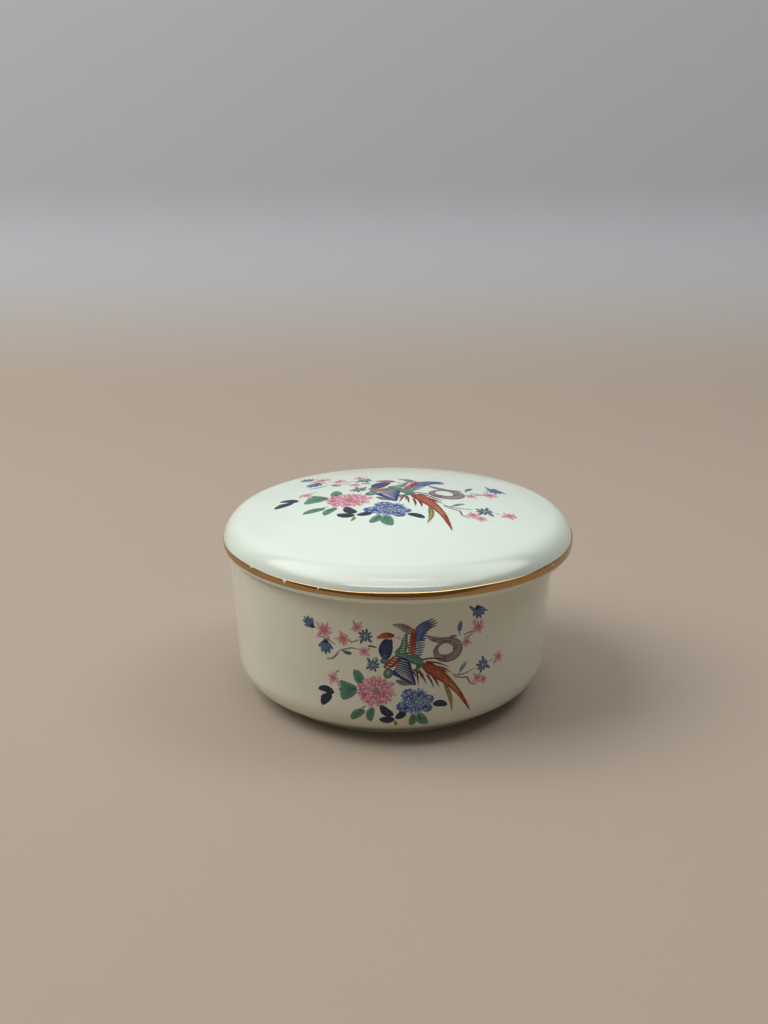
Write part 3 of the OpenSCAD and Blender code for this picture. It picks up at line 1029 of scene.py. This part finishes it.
# Angle from the front, to the right, and reach of each pale spot in the gold, in degrees. The six at the
# front, from -51 to 55, are painted glints where the gold would catch the light; the three at the back are
# chipped gold.
CHIPS_AND_GLINTS = ((-51, 3), (-36, 2.4), (-24, 1.6), (-12, 1.2), (33, 2), (55, 2.6), (118, 3), (171, 2), (-128, 2.6))

DRAWINGS = {
    "twigs": draw_twigs,
    "leaves": draw_leaves,
    "blossoms": draw_blossoms,
    "peonies": draw_peonies,
    "bird": draw_bird,
    "whites": draw_whites,
}


def fire_print(kind, sizes):
    """Lays one part of the print on the wall and, from its own mesh, on the lid."""
    for where, body, cad_node, place in (
        ("wall", "box", "wall_transfer", wall_place(sizes)),
        ("lid", "lid", "lid_transfer", lid_place(sizes)),
    ):
        film = Film()
        DRAWINGS[kind](film)
        piece = film.piece(f"{where}_print_{kind}", place)
        pick(piece)
        bpy.ops.object.mode_set(mode="EDIT")
        bpy.ops.mesh.select_all(action="SELECT")
        bpy.ops.mesh.normals_make_consistent(inside=False)
        bpy.ops.object.mode_set(mode="OBJECT")
        turn_outward(piece, body)
        finish_piece(piece, body, [cad_node], [material("Print enamel", enamel_material)])


def turn_outward(piece, body):
    """Flips the patches that face into the porcelain."""
    mesh = piece.data
    for face in mesh.polygons:
        out = Vector((face.center.x - BOX_AXIS, face.center.y, 0)) if body == "box" else Vector((0, 0, 1))
        if face.normal.dot(out) < 0:
            face.flip()
    mesh.update()


# ---------------------------------------------------------------- operators


class TRINKET_OT_box(bpy.types.Operator):
    """Turns the straight-walled box on its foot ring"""

    bl_idname = "trinket.box"
    bl_label = "Box"

    def execute(self, context):
        s, c = context.scene.trinket_sizes, context.scene.trinket_colours
        piece = lathe("porcelain_box", box_section(s), BOX_AXIS)
        for v in piece.data.vertices:
            x, y = v.co.x - BOX_AXIS, v.co.y
            r = math.hypot(x, y)
            if r > 1e-6:
                k = 1 + out_of_round(math.atan2(y, x)) / s.rim_r
                v.co.x, v.co.y = BOX_AXIS + x * k, y * k
        # The wall's glaze colour is painted warmer and darker, as in shade.
        looks = (c.wall_glaze, 35.0, 0.7, 0.93, (110, 98, 78), 0.10, tuple(c.glaze_pool))
        glaze = material("Wall glaze", glaze_material, *looks)
        biscuit = material("Biscuit", biscuit_material, c.biscuit)
        finish_piece(piece, "box", ["box_body"], [glaze, biscuit])
        for face in piece.data.polygons:
            on_foot = face.center.z < 0.45 * MM
            on_rim = face.center.z > s.rim_z - 0.25 * MM
            face.material_index = 1 if on_foot or on_rim else 0
        return {"FINISHED"}


class TRINKET_OT_lid(bpy.types.Operator):
    """Turns the domed lid with the flange that drops into the box"""

    bl_idname = "trinket.lid"
    bl_label = "Lid"

    def execute(self, context):
        s, c = context.scene.trinket_sizes, context.scene.trinket_colours
        piece = lathe("porcelain_lid", lid_section(s), 0)
        for v in piece.data.vertices:
            if v.co.z > s.rim_z + MM:
                v.co.z += dome_lean(v.co.x, v.co.y, s)
        # The lid's glaze colour is painted cooler and whiter, as in daylight from above.
        glaze = material("Lid glaze", glaze_material, c.lid_glaze, 22.0, 0.5, 0.96, (120, 112, 92), 0.09)
        biscuit = material("Biscuit", biscuit_material, c.biscuit)
        finish_piece(piece, "lid", ["lid"], [glaze, biscuit])
        for face in piece.data.polygons:
            r = math.hypot(face.center.x, face.center.y)
            resting = abs(face.center.z - s.rim_z) < 0.02 * MM and r < 47 * MM
            face.material_index = 1 if resting else 0
        return {"FINISHED"}


class TRINKET_OT_gilding(bpy.types.Operator):
    """Paints the gold line round the edge of the lid"""

    bl_idname = "trinket.gilding"
    bl_label = "Gilding"

    def execute(self, context):
        s, c = context.scene.trinket_sizes, context.scene.trinket_colours
        dome = Dome(s)
        low = -math.asin((s.roll_r - s.gilt_low) / s.roll_r)
        high = math.asin((s.gilt_low + s.gilt_h - s.roll_r) / s.shoulder_r)
        roll_x, sunk = s.lid_r - s.roll_r, 0.03 * MM
        section = arc(roll_x, dome.edge_z, s.roll_r + s.gilt_t, low, 0, 8)
        section += arc(dome.shoulder_x, dome.edge_z, s.shoulder_r + s.gilt_t, 0, high, 8)[1:]
        section += arc(dome.shoulder_x, dome.edge_z, s.shoulder_r - sunk, high + 0.01, 0, 4)
        section += arc(roll_x, dome.edge_z, s.roll_r - sunk, 0, low - 0.03, 4)[1:]
        section.append(section[0])
        piece = lathe("gilt_line", section, 0, GILT_STEPS)
        # The spot mask holds painted glints at the front and chipped gold at the back, strongest towards the
        # top of the line.
        wear_and_glint = piece.data.attributes.new("wear_and_glint", "FLOAT", "POINT")
        for v, spot in zip(piece.data.vertices, wear_and_glint.data):
            a = math.degrees(math.atan2(v.co.x, -v.co.y))
            up = (v.co.z - s.rim_z - s.gilt_low) / s.gilt_h
            worn_and_glinting = 0.0
            for at, wide in CHIPS_AND_GLINTS:
                off = abs((a - at + 180) % 360 - 180)
                worn_and_glinting += 0.55 * max(0, 1 - off / wide)
            spot.value = worn_and_glinting * (0.3 + 0.7 * min(1, max(0, up)))
            if up > 0.6:
                around = math.radians(a)
                wander = 0.10 * math.sin(5 * around) + 0.07 * math.sin(13 * around + 2)
                v.co.z += (0.25 * math.sin(around) + wander) * MM * (up - 0.6) / 0.4
        gold = material("Gilding", gilding_material, c.gold, c.worn_gold_and_glint)
        finish_piece(piece, "lid", ["gilt_band"], [gold], math.radians(80))
        return {"FINISHED"}


class TRINKET_OT_print(bpy.types.Operator):
    """Fires one part of the print on the wall and on the lid"""

    bl_idname = "trinket.print"
    bl_label = "Print"

    kind: bpy.props.EnumProperty(
        name="Part", description="Which part of the print", items=[(k, k.title(), k) for k in DRAWINGS]
    )

    def execute(self, context):
        fire_print(self.kind, context.scene.trinket_sizes)
        return {"FINISHED"}


class TRINKET_OT_stage(bpy.types.Operator):
    """Sets up the plain floor, the soft lights and the camera"""

    bl_idname = "trinket.stage"
    bl_label = "Stage"

    def execute(self, context):
        c = context.scene.trinket_colours
        self.sweep(c)
        self.lights(c)
        self.camera(context)
        return {"FINISHED"}

    def sweep(self, c):
        """A floor that turns up into a wall behind the object in one curve."""
        floor = add_plane("stage_sweep", FLOOR_SIZE, (0, FLOOR_BACK - FLOOR_SIZE / 2, 0))
        bpy.ops.object.mode_set(mode="EDIT")
        bpy.ops.mesh.select_all(action="DESELECT")
        bpy.ops.object.mode_set(mode="OBJECT")
        back = max(v.co.y for v in floor.data.vertices)
        for v in floor.data.vertices:
            v.select = v.co.y > back - 1e-4
        for e in floor.data.edges:
            e.select = all(floor.data.vertices[i].select for i in e.vertices)
        bpy.ops.object.mode_set(mode="EDIT")
        for k in range(TURN_STEPS):
            a, b = math.pi / 2 * k / TURN_STEPS, math.pi / 2 * (k + 1) / TURN_STEPS
            step = (0, TURN_UP * (math.sin(b) - math.sin(a)), TURN_UP * (math.cos(a) - math.cos(b)))
            bpy.ops.mesh.extrude_region_move(TRANSFORM_OT_translate={"value": step})
        bpy.ops.mesh.extrude_region_move(TRANSFORM_OT_translate={"value": (0, 0, WALL_HEIGHT)})
        bpy.ops.object.mode_set(mode="OBJECT")
        bpy.ops.object.shade_smooth()
        made, tree, shader, place = new_material("Stage", Roughness=0.7, Specular_IOR_Level=0.0)
        paint = blend(tree, fade(tree, height_of(tree, place), 0.0, 0.1), c.floor, c.backdrop)
        tree.links.new(paint, shader.inputs["Base Color"])
        floor.data.materials.append(made)

    def lights(self, c):
        """Soft key from the left, two fills, two thin strips that draw lines on the glaze, and the room."""
        self.area("key", (-0.70, -0.04, 0.93), (0.8, 0.8), 10.2, (1.0, 0.995, 0.98), glossy=False)
        self.area("overhead", (0.30, 0.22, 1.0), (0.9, 0.9), 3.3, (0.97, 0.99, 1.0), glossy=False)
        self.area("side", (0.60, 0.08, 0.95), (0.4, 0.4), 1.7, (0.97, 0.98, 1.0), glossy=False)
        edge_y, edge_z = -0.05, 0.045
        for name, rise, wide, power in (("high_strip", 56, 0.5, 0.35), ("low_strip", 28, 1.1, 1.3)):
            high = math.radians(rise)
            at = (0, edge_y - LAMP_REACH * math.cos(high), edge_z + LAMP_REACH * math.sin(high))
            self.area(name, at, (wide, 0.05), power, (1, 1, 1), diffuse=False)
        self.dark_card()
        world = bpy.data.worlds.new("Studio")
        bpy.context.scene.world = world
        world.use_nodes = True
        tree = world.node_tree
        toward = node(tree, "ShaderNodeTexCoord").outputs["Generated"]
        way = node(tree, "ShaderNodeSeparateXYZ", {"Vector": toward})
        room = blend(tree, fade(tree, way.outputs["Z"], 0.0, 0.7), (0.11, 0.105, 0.095), (0.20, 0.21, 0.22))
        path = node(tree, "ShaderNodeLightPath")
        # a bright canopy in front and above, for reflections only
        glow = blend(tree, fade(tree, way.outputs["Z"], 0.7, 0.98), (3.5, 3.6, 3.4), (1.7, 1.75, 1.65))
        in_front = fade(tree, way.outputs["Y"], 0.6, -0.1)
        canopy = maths(tree, fade(tree, way.outputs["Z"], 0.28, 0.55), in_front)
        canopy = maths(tree, canopy, path.outputs["Is Glossy Ray"])
        room = blend(tree, canopy, room, glow)
        room = blend(tree, path.outputs["Is Camera Ray"], room, c.backdrop)
        tree.links.new(room, tree.nodes["Background"].inputs["Color"])

    def dark_card(self):
        """A dark sheet on the floor, seen only in reflections, that gives the gold its deep upper half."""
        card = add_plane("stage_dark_card", 2, (0, -1.21, 0.5 * MM))
        brown = (0.012, 0.007, 0.003, 1)
        card.data.materials.append(new_material("Dark card", Roughness=0.9, Base_Color=brown)[0])
        card.visible_camera = card.visible_diffuse = card.visible_shadow = card.visible_transmission = False

    def area(self, name, at, size, power, tint, glossy=True, diffuse=True):
        lamp = bpy.data.lights.new(name, "AREA")
        lamp.shape = "RECTANGLE"
        lamp.size, lamp.size_y = size
        lamp.energy, lamp.color = power, tint
        made = bpy.data.objects.new(name, lamp)
        bpy.context.scene.collection.objects.link(made)
        made.location = at
        aim = Vector((0, 0, 0.03)) - Vector(at)
        made.rotation_euler = aim.to_track_quat("-Z", "Y").to_euler()
        made.visible_camera = False
        made.visible_glossy = glossy
        made.visible_diffuse = diffuse

    def camera(self, context):
        lens = bpy.data.cameras.new("camera")
        lens.lens = LENS_MM
        lens.sensor_width = 36
        lens.clip_start = 0.01
        made = bpy.data.objects.new("camera", lens)
        context.scene.collection.objects.link(made)
        made.location = CAMERA_AT
        made.rotation_euler = (math.radians(90 - CAMERA_DOWN), 0, math.radians(CAMERA_TURN))
        context.scene.camera = made
        context.scene.view_settings.view_transform = "Standard"


class TRINKET_PT_panel(bpy.types.Panel):
    """Lists the sizes, the colours and one button for each piece"""

    bl_label = "Trinket Box"
    bl_idname = "TRINKET_PT_panel"
    bl_space_type = "VIEW_3D"
    bl_region_type = "UI"
    bl_category = "Trinket Box"

    def draw(self, context):
        layout = self.layout
        for group_ in (context.scene.trinket_sizes, context.scene.trinket_colours):
            for name in group_.bl_rna.properties.keys():
                if name not in ("rna_type", "name"):
                    layout.prop(group_, name)
        layout.operator(TRINKET_OT_stage.bl_idname)
        layout.operator(TRINKET_OT_box.bl_idname)
        layout.operator(TRINKET_OT_lid.bl_idname)
        layout.operator(TRINKET_OT_gilding.bl_idname)
        for kind in DRAWINGS:
            layout.operator(TRINKET_OT_print.bl_idname, text=kind.title()).kind = kind


CLASSES = (
    TrinketSizes,
    TrinketColours,
    TRINKET_OT_stage,
    TRINKET_OT_box,
    TRINKET_OT_lid,
    TRINKET_OT_gilding,
    TRINKET_OT_print,
    TRINKET_PT_panel,
)


def register():
    for cls in CLASSES:
        bpy.utils.register_class(cls)
    bpy.types.Scene.trinket_sizes = bpy.props.PointerProperty(type=TrinketSizes)
    bpy.types.Scene.trinket_colours = bpy.props.PointerProperty(type=TrinketColours)


def unregister():
    del bpy.types.Scene.trinket_colours
    del bpy.types.Scene.trinket_sizes
    for cls in reversed(CLASSES):
        bpy.utils.unregister_class(cls)


def main():
    register()
    bpy.ops.trinket.stage()
    bpy.ops.trinket.box()
    bpy.ops.trinket.lid()
    bpy.ops.trinket.gilding()
    for kind in DRAWINGS:
        bpy.ops.trinket.print(kind=kind)


if __name__ == "__main__":
    main()
